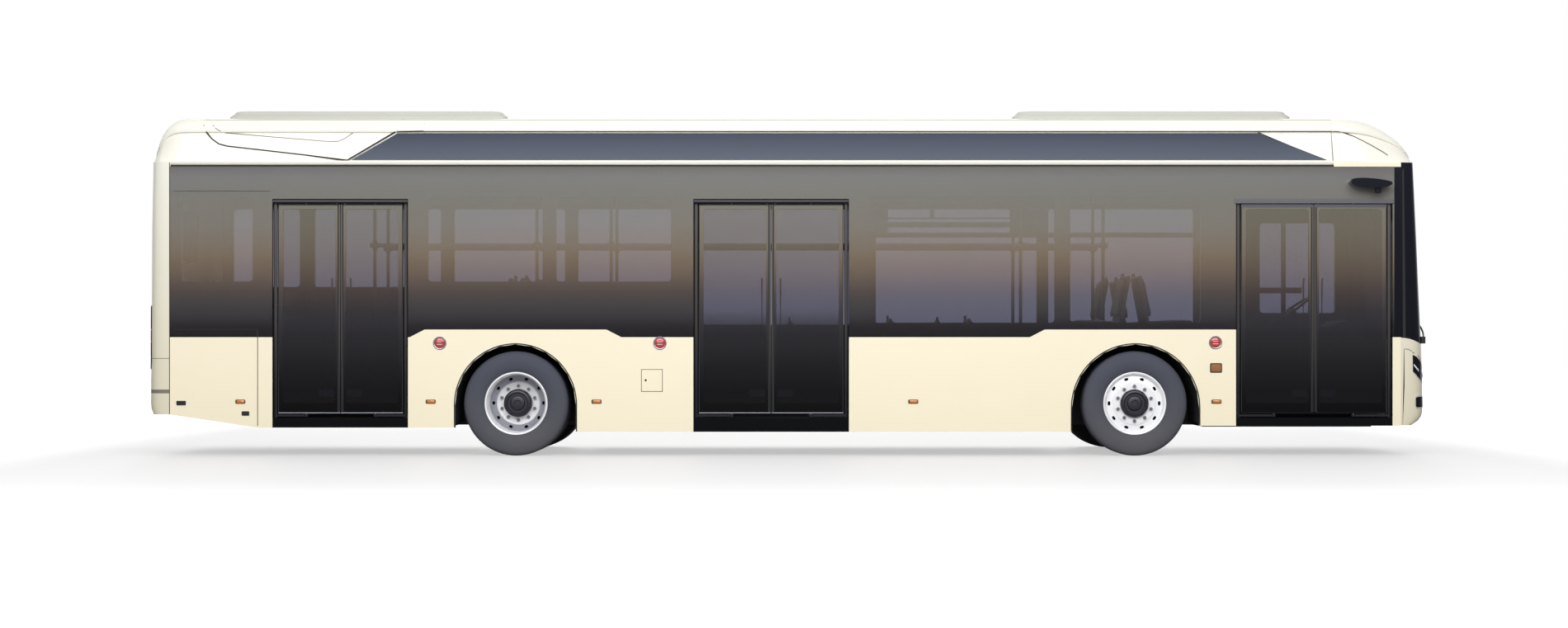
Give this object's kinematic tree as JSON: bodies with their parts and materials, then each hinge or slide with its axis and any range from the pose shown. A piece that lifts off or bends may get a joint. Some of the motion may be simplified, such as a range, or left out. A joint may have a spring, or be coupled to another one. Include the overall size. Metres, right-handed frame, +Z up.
{
  "type": "city bus",
  "caption": "Low-floor city bus with three inward-gliding double doors, dark glass bands, steered front wheels and double rear wheels.",
  "frame": {"origin": "on the ground below the middle of the bounding box", "axes": "+X forward, +Y to the bus's left, +Z up"},
  "size_m": [12.12, 2.84, 3.29],
  "materials": {
    "cream_paint": "warm cream gloss paint",
    "slate_paint": "satin slate blue paint",
    "cover_paint": "pale matt paint",
    "smoked_glass": "dark tinted glass",
    "black_trim": "black coated frame and plastic",
    "black_metal": "black chassis paint",
    "interior_grey": "grey floor and lining",
    "seat_cover": "dark seat cloth",
    "rail_metal": "brushed steel tube",
    "tyre_rubber": "worn black rubber",
    "wheel_steel": "bright machined wheel"
  },
  "bodies": {
    "bus_body": {"chassis_frame": "black_metal", "floor_deck": "interior_grey", "right_side_wall": "cream_paint", "left_side_wall": "cream_paint", "front_panel": "cream_paint", "windscreen": "smoked_glass", "front_dome": "cream_paint", "rear_dome": "cream_paint", "rear_wall": "cream_paint", "rear_window": "smoked_glass", "roof_panel": "cream_paint", "roof_cover_rear": "cover_paint", "roof_cover_front": "cover_paint", "right_fairing": "slate_paint", "left_fairing": "slate_paint", "right_glazing": "smoked_glass", "left_glazing": "smoked_glass", "camera_right": "black_trim", "camera_left": "black_trim", "wipers": "black_trim", "front_axle": "black_metal", "rear_axle": "black_metal", "drive_unit": "black_metal", "seats_right_front": "seat_cover", "seats_left_front": "seat_cover", "seats_right_rear": "seat_cover", "seats_left_rear": "seat_cover", "seats_left_middle": "seat_cover", "seats_right_middle": "seat_cover", "rear_bench": "seat_cover", "driver_cab": "interior_grey", "grab_rails": "rail_metal"},
    "knuckle_body_left": {"knuckle_left": "black_metal"},
    "front_wheel_left": {"front_rim_left": "wheel_steel", "front_tyre_left": "tyre_rubber"},
    "rear_wheel_left": {"rear_rim_left": "wheel_steel", "rear_tyre_outer_left": "tyre_rubber", "rear_tyre_inner_left": "tyre_rubber"},
    "knuckle_body_right": {"knuckle_right": "black_metal"},
    "front_wheel_right": {"front_rim_right": "wheel_steel", "front_tyre_right": "tyre_rubber"},
    "rear_wheel_right": {"rear_rim_right": "wheel_steel", "rear_tyre_outer_right": "tyre_rubber", "rear_tyre_inner_right": "tyre_rubber"},
    "rear_post_aft": {"door_rear_post_aft": "black_trim"},
    "rear_leaf_aft": {"door_rear_leaf_aft": "black_trim"},
    "rear_post_fore": {"door_rear_post_fore": "black_trim"},
    "rear_leaf_fore": {"door_rear_leaf_fore": "black_trim"},
    "middle_post_aft": {"door_middle_post_aft": "black_trim"},
    "middle_leaf_aft": {"door_middle_leaf_aft": "black_trim"},
    "middle_post_fore": {"door_middle_post_fore": "black_trim"},
    "middle_leaf_fore": {"door_middle_leaf_fore": "black_trim"},
    "front_post_aft": {"door_front_post_aft": "black_trim"},
    "front_leaf_aft": {"door_front_leaf_aft": "black_trim"},
    "front_post_fore": {"door_front_post_fore": "black_trim"},
    "front_leaf_fore": {"door_front_leaf_fore": "black_trim"},
    "hatch": {"engine_hatch": "cream_paint"},
    "flap": {"charge_flap": "cream_paint"}
  },
  "joints": [
    {"name": "steering_left", "type": "hinge", "parent": "bus_body", "child": "knuckle_body_left", "pos_m": [3.292, 1, 0.495], "axis": [0, 0, 1], "range_deg": [-48, 48]},
    {"name": "front_wheel_left_spin", "type": "hinge", "parent": "knuckle_body_left", "child": "front_wheel_left", "pos_m": [3.292, 1.1, 0.495], "axis": [0, 1, 0], "continuous": true},
    {"name": "rear_wheel_left_spin", "type": "hinge", "parent": "bus_body", "child": "rear_wheel_left", "pos_m": [-2.569, 0.94, 0.495], "axis": [0, 1, 0], "continuous": true},
    {"name": "steering_right", "type": "hinge", "parent": "bus_body", "child": "knuckle_body_right", "pos_m": [3.292, -1, 0.495], "axis": [0, 0, 1], "range_deg": [-48, 48]},
    {"name": "front_wheel_right_spin", "type": "hinge", "parent": "knuckle_body_right", "child": "front_wheel_right", "pos_m": [3.292, -1.1, 0.495], "axis": [0, 1, 0], "continuous": true},
    {"name": "rear_wheel_right_spin", "type": "hinge", "parent": "bus_body", "child": "rear_wheel_right", "pos_m": [-2.569, -0.94, 0.495], "axis": [0, 1, 0], "continuous": true},
    {"name": "rear_door_aft_post", "type": "hinge", "parent": "bus_body", "child": "rear_post_aft", "pos_m": [-4.842, -1.235, 0.3615], "axis": [0, 0, 1], "range_deg": [0, 84]},
    {"name": "rear_door_aft_leaf", "type": "hinge", "parent": "rear_post_aft", "child": "rear_leaf_aft", "pos_m": [-4.553, -1.235, 0.4025], "axis": [0, 0, 1], "range_deg": [-168, 0]},
    {"name": "rear_door_fore_post", "type": "hinge", "parent": "bus_body", "child": "rear_post_fore", "pos_m": [-3.61, -1.235, 0.3615], "axis": [0, 0, 1], "range_deg": [-84, 0]},
    {"name": "rear_door_fore_leaf", "type": "hinge", "parent": "rear_post_fore", "child": "rear_leaf_fore", "pos_m": [-3.899, -1.235, 0.4025], "axis": [0, 0, 1], "range_deg": [0, 168]},
    {"name": "middle_door_aft_post", "type": "hinge", "parent": "bus_body", "child": "middle_post_aft", "pos_m": [-0.863, -1.235, 0.3615], "axis": [0, 0, 1], "range_deg": [0, 84]},
    {"name": "middle_door_aft_leaf", "type": "hinge", "parent": "middle_post_aft", "child": "middle_leaf_aft", "pos_m": [-0.52675, -1.235, 0.4025], "axis": [0, 0, 1], "range_deg": [-168, 0]},
    {"name": "middle_door_fore_post", "type": "hinge", "parent": "bus_body", "child": "middle_post_fore", "pos_m": [0.558, -1.235, 0.3615], "axis": [0, 0, 1], "range_deg": [-84, 0]},
    {"name": "middle_door_fore_leaf", "type": "hinge", "parent": "middle_post_fore", "child": "middle_leaf_fore", "pos_m": [0.22175, -1.235, 0.4025], "axis": [0, 0, 1], "range_deg": [0, 168]},
    {"name": "front_door_aft_post", "type": "hinge", "parent": "bus_body", "child": "front_post_aft", "pos_m": [4.266, -1.235, 0.3615], "axis": [0, 0, 1], "range_deg": [0, 84]},
    {"name": "front_door_aft_leaf", "type": "hinge", "parent": "front_post_aft", "child": "front_leaf_aft", "pos_m": [4.6045, -1.235, 0.4025], "axis": [0, 0, 1], "range_deg": [-168, 0]},
    {"name": "front_door_fore_post", "type": "hinge", "parent": "bus_body", "child": "front_post_fore", "pos_m": [5.696, -1.235, 0.3615], "axis": [0, 0, 1], "range_deg": [-84, 0]},
    {"name": "front_door_fore_leaf", "type": "hinge", "parent": "front_post_fore", "child": "front_leaf_fore", "pos_m": [5.3575, -1.235, 0.4025], "axis": [0, 0, 1], "range_deg": [0, 168]},
    {"name": "hatch_hinge", "type": "hinge", "parent": "bus_body", "child": "hatch", "pos_m": [-6.0471, 0, 1.7], "axis": [0, 1, 0], "range_deg": [0, 80]},
    {"name": "flap_hinge", "type": "hinge", "parent": "bus_body", "child": "flap", "pos_m": [-1.183, -1.275, 0.7135], "axis": [0, 0, 1], "range_deg": [0, 110]}
  ],
  "couplings": [
    {"joint": "steering_right", "follows": "steering_left", "ratio": 1},
    {"joint": "rear_door_aft_leaf", "follows": "rear_door_aft_post", "ratio": -2},
    {"joint": "rear_door_fore_post", "follows": "rear_door_aft_post", "ratio": -1},
    {"joint": "rear_door_fore_leaf", "follows": "rear_door_aft_post", "ratio": 2},
    {"joint": "middle_door_aft_leaf", "follows": "middle_door_aft_post", "ratio": -2},
    {"joint": "middle_door_fore_post", "follows": "middle_door_aft_post", "ratio": -1},
    {"joint": "middle_door_fore_leaf", "follows": "middle_door_aft_post", "ratio": 2},
    {"joint": "front_door_aft_leaf", "follows": "front_door_aft_post", "ratio": -2},
    {"joint": "front_door_fore_post", "follows": "front_door_aft_post", "ratio": -1},
    {"joint": "front_door_fore_leaf", "follows": "front_door_aft_post", "ratio": 2}
  ]
}
